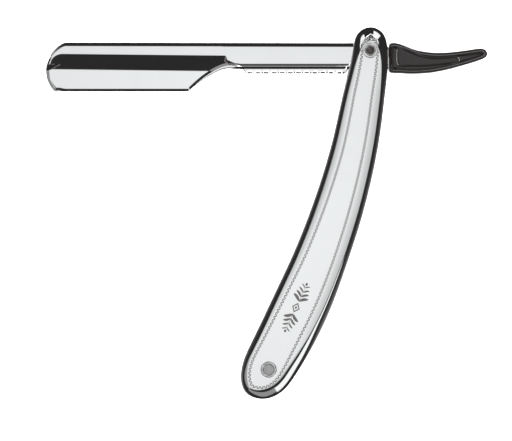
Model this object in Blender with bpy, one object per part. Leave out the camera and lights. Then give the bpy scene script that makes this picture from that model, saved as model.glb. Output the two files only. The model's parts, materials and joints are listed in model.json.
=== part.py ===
"""Straight razor with a holder for a replaceable blade, lying open on its rear side.

Run it with blender --background --python part.py, or from Blender's text editor.

All sizes below are in millimetres, and MM turns them into Blender's metres. Every mesh is modelled
round the pivot: its x and y are measured from the pivot's axis and its z from the surface that the
razor lies on. The pivot's empties then carry the meshes to their place, which puts the origin under
the middle of the razor's bounding box. +X runs from the blade's tip to the tail, +Y from the blade's
edge to its spine, and +Z is up, out of the front scale.
"""

import math

import bmesh
import bpy
import numpy as np

MM = 0.001

# Overall reach from the pivot's axis, which places the origin.
TIP_X = -118.0
TAIL_X = 42.8
HANDLE_TOP_Y = 8.5
HANDLE_BOTTOM_Y = -126.8
PIVOT_X = -(TIP_X + TAIL_X) / 2
PIVOT_Y = -(HANDLE_TOP_Y + HANDLE_BOTTOM_Y) / 2

# The stack through the handle, from the surface up.
RING_PROUD = 0.5
SCALE_THICK = 2.2
HANDLE_GAP = 4.9
REAR_INSIDE_Z = RING_PROUD + SCALE_THICK
FRONT_INSIDE_Z = REAR_INSIDE_Z + HANDLE_GAP
FRONT_OUTSIDE_Z = FRONT_INSIDE_Z + SCALE_THICK
TOP_Z = FRONT_OUTSIDE_Z + RING_PROUD
MIDDLE_Z = TOP_Z / 2
SEAT_GAP = 0.05  # between faces that touch

# Handle scales. The outline runs anticlockwise from the top.
SCALE_OUTLINE = (
    (0.4, HANDLE_TOP_Y),
    (-4.6, 6.1),
    (-6.2, 0.8),
    (-9.9, -15.7),
    (-17.5, -44.2),
    (-29.7, -77.0),
    (-42.7, -105.5),
    (-46.9, -117.4),
    (-45.4, -124.2),
    (-39.3, HANDLE_BOTTOM_Y),
    (-32.2, -124.1),
    (-26.9, -117.4),
    (-20.0, -105.5),
    (-8.6, -77.0),
    (0.9, -44.2),
    (5.3, -15.7),
    (6.2, 0.8),
    (4.8, 6.1),
)
SCALE_POINTS = 72
SCALE_SHOULDERS = ((0.0, 0.9), (0.4, 1.4), (1.3, 1.75))  # inset from the edge, height
BORDER_INSET = 4.4
TOP_BORDER_INSET = 5.2
PIVOT_BORDER_INSET = 3.2

# Pivot: a pin through a bush, a collar outside each scale, a washer each side of the arm.
PIN_R = 1.55
PIN_END_R = 1.62
PIN_DIMPLE_R = 1.1
PIN_DIMPLE = 0.35
PIVOT_RING_R = 2.85
PIVOT_RING_HOLE_R = 1.7
BUSH_R = 2.1
WASHER_R = 4.3
WASHER_THICK = 0.5
RUNNING = 0.05  # radial play of turning fits

# Lower end: an eyelet through both scales and a spacer, rolled over a collar at the back.
END_X = -36.9
END_Y = -116.0
EYELET_HOLE_R = 1.85
EYELET_R = 2.3
EYELET_FLANGE_R = 2.95
EYELET_ROLL_R = 2.55
EYELET_ROLL = 0.25
SPACER_R = 2.9
RING_EDGE = 0.18

# Blade arm. Heights are above or below the plane between the two leaves.
LEAF_GAP = 0.05
LEAF_Z = 1.75
PANEL_Z = 0.75
LEAF_EDGE = 0.3
RIM = 1.0
SPINE_Y = 3.2
SPINE_RISE = 0.0016
HEAD_CENTRE_X = -107.0
HEAD_CENTRE_Y = -7.3
HEAD_R = HEAD_CENTRE_X - TIP_X
JAW_Y = -14.86
HEAD_END_X = -66.1
MAIN_THROAT = ((HEAD_END_X, JAW_Y), (-62.5, -11.9), (-57.0, -8.4), (-51.6, -6.5), (-47.0, -6.6))
COVER_THROAT = ((HEAD_END_X, JAW_Y), (-62.3, -11.4), (-58.3, -8.4), (-53.1, -5.8), (-47.0, -5.5))
CREASE_Y = -1.0
CREASE_DROP = 0.011
FOOT_Y = -6.8
HOLLOW_END_X = -53.5
PANEL_END_X = -61.5
HUB_X = 6.3
HUB_TOP_Y = 1.8
TANG_END_X = 29.6
TANG_TOP_Y = -2.4
TANG_BOTTOM_Y = -5.8
TANG_Z = 1.05
BLADE_GAP = 0.3
BLADE_SEAT_Y = -2.6
BLADE_SEAT_END_X = -63.0
STUDS = {"blade_stud_outer": -108.0, "blade_stud_inner": -73.0}
STUD_Y = -5.0
STUD_R = 0.9
STUD_HEIGHT = 0.2
STUD_DEPTH = 0.4

# Jimps: the grooved strip under the main leaf's shank.
JIMP_START_X = -46.9
JIMP_END_X = -7.4
JIMP_TOP_Y = -5.9
JIMP_BOTTOM_Y = -8.4
JIMP_FRONT_Z = 0.6
JIMP_BACK_Z = 1.65
JIMP_SLOPE = 1.7
JIMP_PITCH = 2.95
JIMP_COUNT = 12
JIMP_R = 1.25

# Plastic tail. The outline runs anticlockwise from the upper left corner.
GRIP_OUTLINE = (
    (7.9, 2.6),
    (7.05, 1.9),
    (6.9, -2.8),
    (7.05, -7.4),
    (8.0, -8.15),
    (14.0, -8.4),
    (24.2, -7.75),
    (34.5, -5.5),
    (41.0, -3.3),
    (TAIL_X, -1.2),
    (41.2, 0.85),
    (34.5, 0.15),
    (25.8, -0.55),
    (18.1, 0.15),
    (12.2, 1.9),
    (9.7, 2.75),
)
GRIP_POINTS = 60
GRIP_HALF = 2.2
GRIP_SHOULDERS = ((0.0, 1.0), (0.45, 1.8), (1.2, GRIP_HALF))
GRIP_CLEARANCE = 0.15

ROUND = 32

STEEL = ("polished_steel", (0.83, 0.83, 0.84), 0.08, 1.0)
RIVET = ("rivet_steel", (0.72, 0.72, 0.73), 0.22, 1.0)
BRASS = ("washer_brass", (0.78, 0.62, 0.32), 0.3, 1.0)
PLASTIC = ("black_plastic", (0.018, 0.016, 0.016), 0.18, 0.0)


def clear_scene():
    for obj in list(bpy.data.objects):
        bpy.data.objects.remove(obj, do_unlink=True)


def make_material(name, look):
    """A Principled material of its own for one sub-part."""
    _, colour, roughness, metallic = look
    material = bpy.data.materials.new(name)
    material.use_nodes = True
    shader = material.node_tree.nodes["Principled BSDF"]
    shader.inputs["Base Color"].default_value = (*colour, 1.0)
    shader.inputs["Roughness"].default_value = roughness
    shader.inputs["Metallic"].default_value = metallic
    return material


def make_axis(name, parent=None):
    """An empty on the pivot's axis, or on its parent's."""
    axis = bpy.data.objects.new(name, None)
    bpy.context.collection.objects.link(axis)
    if parent is None:
        axis.location = (PIVOT_X * MM, PIVOT_Y * MM, 0.0)
    else:
        axis.parent = parent
    return axis


def add_object(name, points, faces, look, axis, smooth_deg=35.0):
    """An object on the given axis from points in millimetres."""
    mesh = bpy.data.meshes.new(name)
    mesh.from_pydata([(x * MM, y * MM, z * MM) for x, y, z in points], [], faces)
    bm = bmesh.new()
    bm.from_mesh(mesh)
    bmesh.ops.recalc_face_normals(bm, faces=bm.faces)
    bm.to_mesh(mesh)
    bm.free()
    mesh.shade_smooth()
    mesh.set_sharp_from_angle(angle=math.radians(smooth_deg))
    obj = bpy.data.objects.new(name, mesh)
    bpy.context.collection.objects.link(obj)
    obj.parent = axis
    if look is not None:
        mesh.materials.append(make_material(name, look))
    return obj


def add_cutter(name, points, faces, axis):
    cutter = add_object(name, points, faces, None, axis)
    cutter.hide_render = True
    cutter.display_type = "WIRE"
    return cutter


def combine(obj, other, operation):
    """Keeps an exact Boolean on the object as a live modifier."""
    modifier = obj.modifiers.new(f"{operation.lower()}_{other.name}", "BOOLEAN")
    modifier.operation = operation
    modifier.solver = "EXACT"
    modifier.object = other


def stack_faces(rings, size):
    """Quads between neighbouring rings of the same size, with the first and last ring capped."""
    faces = [tuple(reversed(range(size)))]
    for ring in range(rings - 1):
        low = ring * size
        for i in range(size):
            j = (i + 1) % size
            faces.append((low + i, low + j, low + size + j, low + size + i))
    last = (rings - 1) * size
    faces.append(tuple(range(last, last + size)))
    return faces


def box(low, high):
    """Points and faces of a box between two corners."""
    (x0, y0, z0), (x1, y1, z1) = low, high
    points = [(x, y, z) for z in (z0, z1) for x, y in ((x0, y0), (x1, y0), (x1, y1), (x0, y1))]
    return points, stack_faces(2, 4)


def disc_stack(profile, x=0.0, y=0.0):
    """Points and faces of a solid turned about a vertical axis; the profile is (radius, z) pairs upwards."""
    points = []
    for radius, z in profile:
        for i in range(ROUND):
            angle = math.tau * i / ROUND
            points.append((x + radius * math.cos(angle), y + radius * math.sin(angle), z))
    return points, stack_faces(len(profile), ROUND)


def turned_ring(profile, x=0.0, y=0.0):
    """Points and faces of a ring turned about a vertical axis; the profile is a closed loop of (radius, z)."""
    size = len(profile)
    points = []
    faces = []
    for i in range(ROUND):
        angle = math.tau * i / ROUND
        cos, sin = math.cos(angle), math.sin(angle)
        points.extend((x + radius * cos, y + radius * sin, z) for radius, z in profile)
        low, high = i * size, (i + 1) % ROUND * size
        for k in range(size):
            n = (k + 1) % size
            faces.append((low + k, low + n, high + n, high + k))
    return points, faces


def closed_spline(outline, count):
    """Evenly spaced points and outward normals on the smooth closed curve through an anticlockwise outline."""
    knots = np.array(outline, float)
    size = len(knots)
    step = np.linalg.norm(np.roll(knots, -1, axis=0) - knots, axis=1)
    system = np.zeros((size, size))
    slopes = np.zeros((size, 2))
    for i in range(size):
        before, after = step[i - 1], step[i]
        system[i, i - 1] = after
        system[i, i] = 2 * (before + after)
        system[i, (i + 1) % size] = before
        to_next = (knots[(i + 1) % size] - knots[i]) / after
        from_last = (knots[i] - knots[i - 1]) / before
        slopes[i] = 3 * (before * to_next + after * from_last)
    tangents = np.linalg.solve(system, slopes)
    fine = 40
    curve = []
    for i in range(size):
        j = (i + 1) % size
        for t in np.arange(fine) / fine:
            a, b = 2 * t**3 - 3 * t**2 + 1, t**3 - 2 * t**2 + t
            c, d = 3 * t**2 - 2 * t**3, t**3 - t**2
            curve.append(
                a * knots[i] + b * step[i] * tangents[i] + c * knots[j] + d * step[i] * tangents[j]
            )
    curve = np.array(curve + [curve[0]])
    run = np.concatenate([[0], np.cumsum(np.linalg.norm(np.diff(curve, axis=0), axis=1))])
    at = np.arange(count) / count * run[-1]
    points = np.stack([np.interp(at, run, curve[:, k]) for k in (0, 1)], axis=1)
    along = np.roll(points, -1, axis=0) - np.roll(points, 1, axis=0)
    along /= np.linalg.norm(along, axis=1)[:, None]
    return points, np.stack([along[:, 1], -along[:, 0]], axis=1)


def open_curve(x, knots):
    """The height at x of a smooth curve through knots whose x increases."""
    xs = np.array([k[0] for k in knots])
    ys = np.array([k[1] for k in knots])
    slope = np.gradient(ys, xs)
    i = int(np.clip(np.searchsorted(xs, x) - 1, 0, len(xs) - 2))
    step = xs[i + 1] - xs[i]
    t = (x - xs[i]) / step
    a, b = 2 * t**3 - 3 * t**2 + 1, t**3 - 2 * t**2 + t
    c, d = 3 * t**2 - 2 * t**3, t**3 - t**2
    return float(a * ys[i] + b * step * slope[i] + c * ys[i + 1] + d * step * slope[i + 1])


def border_insets(points):
    """How far the flat centre of a scale lies inside its edge: less beside the pivot, more above it."""
    insets = []
    for _, y in points:
        beside_pivot = math.exp(-((y / 14.0) ** 2))
        inset = BORDER_INSET + (PIVOT_BORDER_INSET - BORDER_INSET) * beside_pivot
        above = min(max((y - 3.0) / 4.0, 0.0), 1.0)
        insets.append(inset + (TOP_BORDER_INSET - inset) * above)
    return np.array(insets)


def make_scale(name, inside_z, outward, axis):
    """One handle plate: a flat back, a flat centre and edges that slope and round down to the outline."""
    points, normals = closed_spline(SCALE_OUTLINE, SCALE_POINTS)
    rings = [(0.0, 0.0)] + [(inset, height) for inset, height in SCALE_SHOULDERS]
    verts = []
    for inset, height in rings:
        ring = points - normals * inset
        verts.extend((x, y, inside_z + outward * height) for x, y in ring)
    centre = points - normals * border_insets(points)[:, None]
    verts.extend((x, y, inside_z + outward * SCALE_THICK) for x, y in centre)
    scale = add_object(name, verts, stack_faces(len(rings) + 1, SCALE_POINTS), STEEL, axis)
    low, high = sorted((inside_z, inside_z + outward * SCALE_THICK))
    for hole, x, y, radius in (
        ("pivot_hole", 0.0, 0.0, PIN_R + RUNNING),
        ("end_hole", END_X, END_Y, EYELET_R + RUNNING),
    ):
        drill = add_cutter(f"{name}_{hole}", *disc_stack(((radius, low - 1), (radius, high + 1)), x, y), axis)
        combine(scale, drill, "DIFFERENCE")
    return scale


def ring_profile(inner, outer, seat_z, face_z):
    """A collar's cross-section: flat seat, flat face and broken edges on the face."""
    edge = math.copysign(RING_EDGE, face_z - seat_z)
    return (
        (inner, seat_z),
        (outer, seat_z),
        (outer, face_z - edge),
        (outer - RING_EDGE, face_z),
        (inner + RING_EDGE, face_z),
        (inner, face_z - edge),
    )


def make_pivot(axis):
    """Pin, bush, two collars and two washers, all on the pivot's axis."""
    rear_seat = RING_PROUD - SEAT_GAP
    front_seat = FRONT_OUTSIDE_Z + SEAT_GAP
    end_height = 0.15
    pin = (
        (PIN_DIMPLE_R * 0.3, end_height + PIN_DIMPLE),
        (PIN_DIMPLE_R, end_height + 0.1),
        (PIN_END_R - 0.25, end_height),
        (PIN_END_R, end_height + 0.15),
        (PIN_END_R, rear_seat - 0.05),
        (PIN_R, rear_seat),
        (PIN_R, front_seat),
        (PIN_END_R, front_seat + 0.05),
        (PIN_END_R, TOP_Z - end_height - 0.15),
        (PIN_END_R - 0.25, TOP_Z - end_height),
        (PIN_DIMPLE_R, TOP_Z - end_height - 0.1),
        (PIN_DIMPLE_R * 0.3, TOP_Z - end_height - PIN_DIMPLE),
    )
    add_object("pivot_pin", *disc_stack(pin), RIVET, axis)
    bush_low, bush_high = REAR_INSIDE_Z + SEAT_GAP, FRONT_INSIDE_Z - SEAT_GAP
    bush_hole = PIN_R + RUNNING
    bush = ((bush_hole, bush_low), (BUSH_R, bush_low), (BUSH_R, bush_high), (bush_hole, bush_high))
    add_object("pivot_bush", *turned_ring(bush), RIVET, axis)
    for name, seat, face in (
        ("pivot_ring_rear", rear_seat, 0.0),
        ("pivot_ring_front", front_seat, TOP_Z),
    ):
        add_object(name, *turned_ring(ring_profile(PIVOT_RING_HOLE_R, PIVOT_RING_R, seat, face)), RIVET, axis)
    washer_hole = BUSH_R + RUNNING
    play = (HANDLE_GAP - 2 * LEAF_Z - 2 * WASHER_THICK) / 4
    for name, low in (
        ("pivot_washer_rear", REAR_INSIDE_Z + play),
        ("pivot_washer_front", FRONT_INSIDE_Z - play - WASHER_THICK),
    ):
        high = low + WASHER_THICK
        washer = ((washer_hole, low), (WASHER_R, low), (WASHER_R, high), (washer_hole, high))
        add_object(name, *turned_ring(washer), BRASS, axis)


def make_lower_end(axis):
    """The eyelet, its collar and the spacer that hold the lower ends of the scales together."""
    front_seat = FRONT_OUTSIDE_Z + SEAT_GAP
    eyelet = (
        (EYELET_HOLE_R, 0.0),
        (EYELET_ROLL_R, 0.0),
        (EYELET_ROLL_R, EYELET_ROLL),
        (EYELET_R, EYELET_ROLL),
        (EYELET_R, front_seat),
        (EYELET_FLANGE_R, front_seat),
        (EYELET_FLANGE_R, TOP_Z - RING_EDGE),
        (EYELET_FLANGE_R - RING_EDGE, TOP_Z),
        (EYELET_HOLE_R + RING_EDGE, TOP_Z),
        (EYELET_HOLE_R, TOP_Z - RING_EDGE),
    )
    add_object("end_eyelet", *turned_ring(eyelet, END_X, END_Y), RIVET, axis)
    rear_seat = RING_PROUD - SEAT_GAP
    tube_play = EYELET_R + RUNNING
    roll_play = EYELET_ROLL_R + RUNNING
    collar = (
        (tube_play, rear_seat),
        (tube_play, EYELET_ROLL + SEAT_GAP),
        (roll_play, EYELET_ROLL + SEAT_GAP),
        (roll_play, 0.0),
        (EYELET_FLANGE_R - RING_EDGE / 2, 0.0),
        (EYELET_FLANGE_R, RING_EDGE),
        (EYELET_FLANGE_R, rear_seat),
    )
    add_object("end_collar", *turned_ring(collar, END_X, END_Y), RIVET, axis)
    low, high = REAR_INSIDE_Z + SEAT_GAP, FRONT_INSIDE_Z - SEAT_GAP
    spacer = ((tube_play, low), (SPACER_R, low), (SPACER_R, high), (tube_play, high))
    add_object("end_spacer", *turned_ring(spacer, END_X, END_Y), RIVET, axis)


def eased(x, start, end):
    """0 before start, 1 after end, smooth between."""
    t = min(max((x - start) / (end - start), 0.0), 1.0)
    return t * t * (3 - 2 * t)


def leaf_edges(x, throat):
    """The leaf's upper and lower edge at x."""
    top = SPINE_Y - SPINE_RISE * x
    if x > HUB_X:
        return TANG_TOP_Y, TANG_BOTTOM_Y
    if x > 0:
        top += (HUB_TOP_Y - top) * x / HUB_X
    if x < throat[0][0]:
        bottom = JAW_Y
    elif x > throat[-1][0]:
        bottom = throat[-1][1]
    else:
        bottom = open_curve(x, throat)
    if x < HEAD_CENTRE_X:
        reach = math.sqrt(max(HEAD_R**2 - (x - HEAD_CENTRE_X) ** 2, 0.0))
        top = min(top, HEAD_CENTRE_Y + reach)
        bottom = max(bottom, HEAD_CENTRE_Y - reach)
    return top, bottom


def leaf_section(x, throat, side):
    """The leaf's outline across the arm at x; side is 1 for the front leaf and -1 for the rear one."""
    top, bottom = leaf_edges(x, throat)
    height = TANG_Z if x > HUB_X else LEAF_Z
    span = top - bottom
    edge = min(LEAF_EDGE, span / 8)
    rim = max(2 * edge, min(RIM, span / 5))
    low = height - (LEAF_Z - PANEL_Z) * (1 - eased(x, PANEL_END_X, HOLLOW_END_X))
    drop = CREASE_DROP * (x - HEAD_CENTRE_X)
    crease = max(min(CREASE_Y - drop, top - rim), bottom + 3 * edge)
    foot = max(min(FOOT_Y - drop, crease - edge), bottom + 2 * edge)
    outer = (
        (top, LEAF_GAP),
        (top, height - edge),
        (top - edge, height),
        (crease, height),
        (foot, low),
        (bottom + edge, low),
        (bottom, low - edge),
        (bottom, LEAF_GAP),
    )
    return [(x, y, MIDDLE_Z + side * z) for y, z in outer]


def leaf_stations():
    """Where the leaf's sections stand: close together where its outline curves."""
    tip = [HEAD_CENTRE_X - HEAD_R * math.cos(math.radians(a)) for a in (2, 8, 15, 23, 32, 42, 53, 64, 76)]
    throat = list(np.linspace(HEAD_END_X, -47.0, 16))
    return [*tip, HEAD_CENTRE_X, *throat, -20.0, 1.5 * BUSH_R, HUB_X - 0.05, HUB_X + 0.001, TANG_END_X]


def make_leaf(name, throat, side, axis):
    """One half of the blade holder, from its round tip to its tang, with a hole for the bush."""
    sections = [leaf_section(x, throat, side) for x in leaf_stations()]
    verts = [point for section in sections for point in section]
    leaf = add_object(name, verts, stack_faces(len(sections), len(sections[0])), STEEL, axis)
    inner, outer = MIDDLE_Z, MIDDLE_Z + side * (LEAF_Z + 1)
    low, high = sorted((inner - side, outer))
    hole = BUSH_R + RUNNING
    drill = add_cutter(f"{name}_pivot_hole", *disc_stack(((hole, low), (hole, high))), axis)
    combine(leaf, drill, "DIFFERENCE")
    return leaf


def make_cover_leaf(axis):
    """The front leaf, relieved inside its jaw so that a blade fits between the leaves."""
    leaf = make_leaf("cover_leaf", COVER_THROAT, 1, axis)
    low = (TIP_X - 1, JAW_Y - 1, MIDDLE_Z - 1)
    high = (BLADE_SEAT_END_X, BLADE_SEAT_Y, MIDDLE_Z + LEAF_GAP + BLADE_GAP)
    combine(leaf, add_cutter("blade_seat", *box(low, high), axis), "DIFFERENCE")


def jimp_strip():
    """The strip under the shank, with sloping ends."""
    back, front = MIDDLE_Z - JIMP_BACK_Z, MIDDLE_Z - JIMP_FRONT_Z
    corners = (
        (JIMP_START_X, JIMP_TOP_Y),
        (JIMP_START_X + JIMP_SLOPE, JIMP_BOTTOM_Y),
        (JIMP_END_X - JIMP_SLOPE, JIMP_BOTTOM_Y),
        (JIMP_END_X, JIMP_TOP_Y),
    )
    points = [(x, y, z) for z in (back, front) for x, y in corners]
    return points, stack_faces(2, len(corners))


def jimp_scoop(x):
    """A round cutter that crosses the strip's front lower corner at 45 degrees."""
    sides = 12
    lean = math.sqrt(0.5)
    points = []
    for end in (-2.0, 0.9):
        for i in range(sides):
            angle = math.tau * i / sides
            across, deep = JIMP_R * math.cos(angle), JIMP_R * math.sin(angle)
            y = JIMP_BOTTOM_Y + lean * (end - deep)
            z = MIDDLE_Z - JIMP_FRONT_Z + lean * (end + deep)
            points.append((x + across, y, z))
    return points, stack_faces(2, sides)


def make_main_leaf(axis):
    """The rear leaf, with its jimps and the holes that the blade studs are pressed into."""
    leaf = make_leaf("main_leaf", MAIN_THROAT, -1, axis)
    combine(leaf, add_cutter("jimp_strip", *jimp_strip(), axis), "UNION")
    first = JIMP_START_X + JIMP_SLOPE + JIMP_PITCH / 2
    for i in range(JIMP_COUNT):
        scoop = add_cutter(f"jimp_scoop_{i + 1}", *jimp_scoop(first + i * JIMP_PITCH), axis)
        combine(leaf, scoop, "DIFFERENCE")
    hole = STUD_R + RUNNING
    floor = MIDDLE_Z - STUD_DEPTH - SEAT_GAP
    for name, x in STUDS.items():
        drill = add_cutter(f"{name}_hole", *disc_stack(((hole, floor), (hole, MIDDLE_Z + 1)), x, STUD_Y), axis)
        combine(leaf, drill, "DIFFERENCE")


def make_studs(axis):
    """The two studs that a blade is hooked on; they end inside the relief of the cover leaf."""
    top = MIDDLE_Z + STUD_HEIGHT
    for name, x in STUDS.items():
        profile = ((STUD_R, MIDDLE_Z - STUD_DEPTH), (STUD_R, top - 0.1), (STUD_R - 0.15, top))
        add_object(name, *disc_stack(profile, x, STUD_Y), RIVET, axis)


def make_tang_grip(axis):
    """The plastic tail: closed round the main leaf's tang, open below so that the cover leaf swings out."""
    points, normals = closed_spline(GRIP_OUTLINE, GRIP_POINTS)
    half = GRIP_SHOULDERS
    rings = [(inset, -height) for inset, height in reversed(half)] + list(half)
    verts = []
    for inset, height in rings:
        verts.extend((x, y, MIDDLE_Z + height) for x, y in points - normals * inset)
    grip = add_object("tang_grip", verts, stack_faces(len(rings), GRIP_POINTS), PLASTIC, axis)
    top = TANG_TOP_Y + GRIP_CLEARANCE
    end = TANG_END_X + 3 * GRIP_CLEARANCE
    main_low = (HUB_X - 3, TANG_BOTTOM_Y - GRIP_CLEARANCE, MIDDLE_Z - TANG_Z - GRIP_CLEARANCE)
    cover_low = (HUB_X - 3, JAW_Y, MIDDLE_Z)
    combine(grip, add_cutter("main_tang_pocket", *box(main_low, (end, top, MIDDLE_Z + 0.5)), axis), "DIFFERENCE")
    cover_high = (end, top, MIDDLE_Z + TANG_Z + GRIP_CLEARANCE)
    combine(grip, add_cutter("cover_tang_slot", *box(cover_low, cover_high), axis), "DIFFERENCE")


def main():
    clear_scene()
    handle = make_axis("handle_axis")
    arm = make_axis("arm_pivot", handle)
    cover = make_axis("cover_leaf_pivot", arm)
    make_scale("rear_scale", REAR_INSIDE_Z, -1, handle)
    make_scale("front_scale", FRONT_INSIDE_Z, 1, handle)
    make_pivot(handle)
    make_lower_end(handle)
    make_main_leaf(arm)
    make_studs(arm)
    make_tang_grip(arm)
    make_cover_leaf(cover)


main()
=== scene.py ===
import json
import math

import bmesh
import bpy
import numpy as np
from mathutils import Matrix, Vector
from mathutils.geometry import delaunay_2d_cdt


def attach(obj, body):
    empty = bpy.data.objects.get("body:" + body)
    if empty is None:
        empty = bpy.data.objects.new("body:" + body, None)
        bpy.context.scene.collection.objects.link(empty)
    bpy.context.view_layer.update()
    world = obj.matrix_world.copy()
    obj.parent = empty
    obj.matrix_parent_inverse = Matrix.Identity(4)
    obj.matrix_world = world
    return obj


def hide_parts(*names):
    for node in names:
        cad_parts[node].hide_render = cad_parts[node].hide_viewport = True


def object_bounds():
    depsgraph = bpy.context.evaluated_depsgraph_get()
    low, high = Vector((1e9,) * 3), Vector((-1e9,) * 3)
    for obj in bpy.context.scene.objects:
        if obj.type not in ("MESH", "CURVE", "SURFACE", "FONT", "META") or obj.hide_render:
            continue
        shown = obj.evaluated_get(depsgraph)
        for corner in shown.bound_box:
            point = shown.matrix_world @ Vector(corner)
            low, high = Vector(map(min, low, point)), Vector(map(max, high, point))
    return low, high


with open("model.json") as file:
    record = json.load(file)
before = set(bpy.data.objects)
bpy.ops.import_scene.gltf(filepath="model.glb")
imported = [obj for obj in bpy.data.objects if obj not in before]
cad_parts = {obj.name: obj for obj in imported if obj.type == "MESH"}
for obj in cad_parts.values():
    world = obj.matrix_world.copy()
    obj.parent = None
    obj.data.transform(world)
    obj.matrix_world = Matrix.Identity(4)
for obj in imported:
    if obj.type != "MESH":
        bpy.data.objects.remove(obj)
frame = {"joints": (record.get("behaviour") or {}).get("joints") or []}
CAD_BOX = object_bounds()

# Lengths are in millimetres from the pivot's axis, and heights from the surface the razor lies on.
MM = 0.001
PIVOT = frame["joints"][0]["pos_m"]
TOP_Z = CAD_BOX[1].z / MM
MIDDLE_Z = TOP_Z / 2

# Handle.
HANDLE_TOP_Y = 8.49
HANDLE_BOTTOM_Y = -126.8
SCALE_OUTLINE = (
    (0.4, HANDLE_TOP_Y),
    (-4.6, 6.1),
    (-6.2, 0.8),
    (-9.95, -15.7),
    (-13.7, -32.2),
    (-17.08, -44.2),
    (-22.83, -60.94),
    (-29.45, -77.0),
    (-35.0, -88.8),
    (-42.9, -105.5),
    (-47.05, -117.4),
    (-45.5, -124.2),
    (-39.3, HANDLE_BOTTOM_Y),
    (-32.0, -124.1),
    (-26.6, -117.4),
    (-19.7, -105.5),
    (-13.3, -91.5),
    (-8.1, -77.0),
    (-3.55, -62.9),
    (1.2, -44.2),
    (3.25, -33.5),
    (5.55, -15.7),
    (6.3, 0.8),
    (4.8, 6.1),
)
# Each row: a place on the outline, the width, slope and fullness of the rounding there, the slope of
# the zone inside it, and the slope of the facet along the very edge.
EDGE_STATIONS = (
    (0.4, HANDLE_TOP_Y, 6.0, 0.50, 1.0, 0.0, 0.0),
    (-5.4, 4.5, 4.8, 0.52, 1.2, 0.0, 0.1),
    (-6.4, 1.0, 2.8, 0.52, 3.0, 0.03, 0.1),
    (-7.4, -5.0, 1.9, 0.50, 8.0, 0.11, 0.12),
    (-33.0, -84.0, 1.9, 0.50, 8.0, 0.12, 0.08),
    (-42.0, -104.0, 2.0, 0.50, 8.0, 0.13, 0.03),
    (-46.3, -113.5, 1.8, 0.46, 5.0, 0.21, 0.0),
    (-47.0, -118.5, 1.4, 0.40, 4.0, 0.30, 0.0),
    (-45.5, -124.2, 2.2, 0.42, 2.0, 0.24, 0.05),
    (-39.3, HANDLE_BOTTOM_Y, 3.9, 0.44, 1.6, 0.0, 0.08),
    (-32.0, -124.1, 4.5, 0.56, 1.2, 0.0, 0.04),
    (-26.6, -117.4, 4.4, 0.60, 1.2, 0.0, 0.04),
    (-23.0, -111.5, 3.8, 0.60, 1.3, 0.03, 0.04),
    (-19.7, -105.5, 3.2, 0.58, 2.0, 0.06, 0.05),
    (-15.0, -95.0, 2.6, 0.54, 5.0, 0.09, 0.08),
    (-8.1, -77.0, 2.0, 0.52, 8.0, 0.09, 0.1),
    (5.5, -15.7, 1.8, 0.52, 8.0, 0.09, 0.06),
    (6.2, -4.0, 2.4, 0.50, 6.0, 0.06, 0.0),
    (6.3, 0.8, 3.2, 0.50, 3.5, 0.0, 0.0),
    (5.8, 4.0, 4.6, 0.50, 1.3, 0.0, 0.0),
)
# Each row: a place on the outline and how far the border's middle lies inside it.
BORDER_STATIONS = (
    (0.4, 8.5, 3.3), (-6.4, 1.0, 3.4), (-7.4, -5.0, 3.7), (-9.4, -12.4, 4.0), (-11.3, -21.5, 4.4),
    (-15.2, -36.0, 4.65), (-20.5, -54.0, 4.55), (-27.5, -72.0, 4.4), (-35.5, -91.0, 3.9),
    (-42.0, -104.0, 3.45), (-46.0, -113.0, 3.1), (-47.0, -118.5, 3.2), (-45.5, -124.2, 3.6),
    (-39.3, -126.8, 4.25), (-32.0, -124.1, 4.7), (-26.6, -117.4, 5.1), (-24.2, -113.5, 5.5),
    (-19.7, -105.5, 5.9), (-13.3, -91.5, 5.6), (-8.1, -77.0, 5.2), (-2.8, -60.0, 5.25), (2.6, -36.0, 5.1),
    (5.0, -20.0, 4.9), (5.9, -12.0, 4.6), (6.2, -4.0, 4.0), (6.3, 0.8, 3.6),
)
SCALE_THICK = 2.2
RING_PROUD = 0.5
HANDLE_GAP = 4.9
REAR_INSIDE_Z = RING_PROUD + SCALE_THICK
FRONT_INSIDE_Z = REAR_INSIDE_Z + HANDLE_GAP
FRONT_OUTSIDE_Z = FRONT_INSIDE_Z + SCALE_THICK
SEAT_GAP = 0.05
PIVOT_HOLE_R = 1.62
END_HOLE_R = 2.35

# Engraved border of the scales: one zigzag line.
BORDER_WIDTH = 1.0
ZIGZAG_PITCH = 1.4
ZIGZAG_HALF = 0.14
GROOVE_DEPTH = 0.06

# Rows of a scale's mesh: as parts of the way in to the border, then across it.
EDGE_ROWS = (
    0.0, 0.006, 0.014, 0.03, 0.055, 0.085, 0.12, 0.16, 0.2, 0.24, 0.28, 0.31, 0.34, 0.37, 0.4, 0.43, 0.46,
    0.5, 0.54, 0.58, 0.62, 0.66, 0.7, 0.74, 0.79, 0.84, 0.89, 0.94, 1.0,
)
BORDER_ROWS = (
    (-0.08, "flat"), (0.03, "flat"), (0.09, "zigzag"), (0.36, "zigzag"), (0.64, "zigzag"), (0.91, "zigzag"),
    (0.97, "flat"), (1.08, "flat"), (1.2, "flat"),
)

# Rivets. The dish is the radius and depth of the hollow in each end of the pivot pin.
END_X, END_Y = -36.9, -116.0
PIN_R = 1.62
PIN_END = 0.15
PIN_DISH = (
    (0.0, 0.42), (0.3, 0.41), (0.62, 0.34), (0.92, 0.22), (1.15, 0.08), (1.3, 0.02), (1.42, 0.0),
    (1.55, 0.04), (PIN_R, 0.14),
)
WASHER_THICK = 0.5

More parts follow.
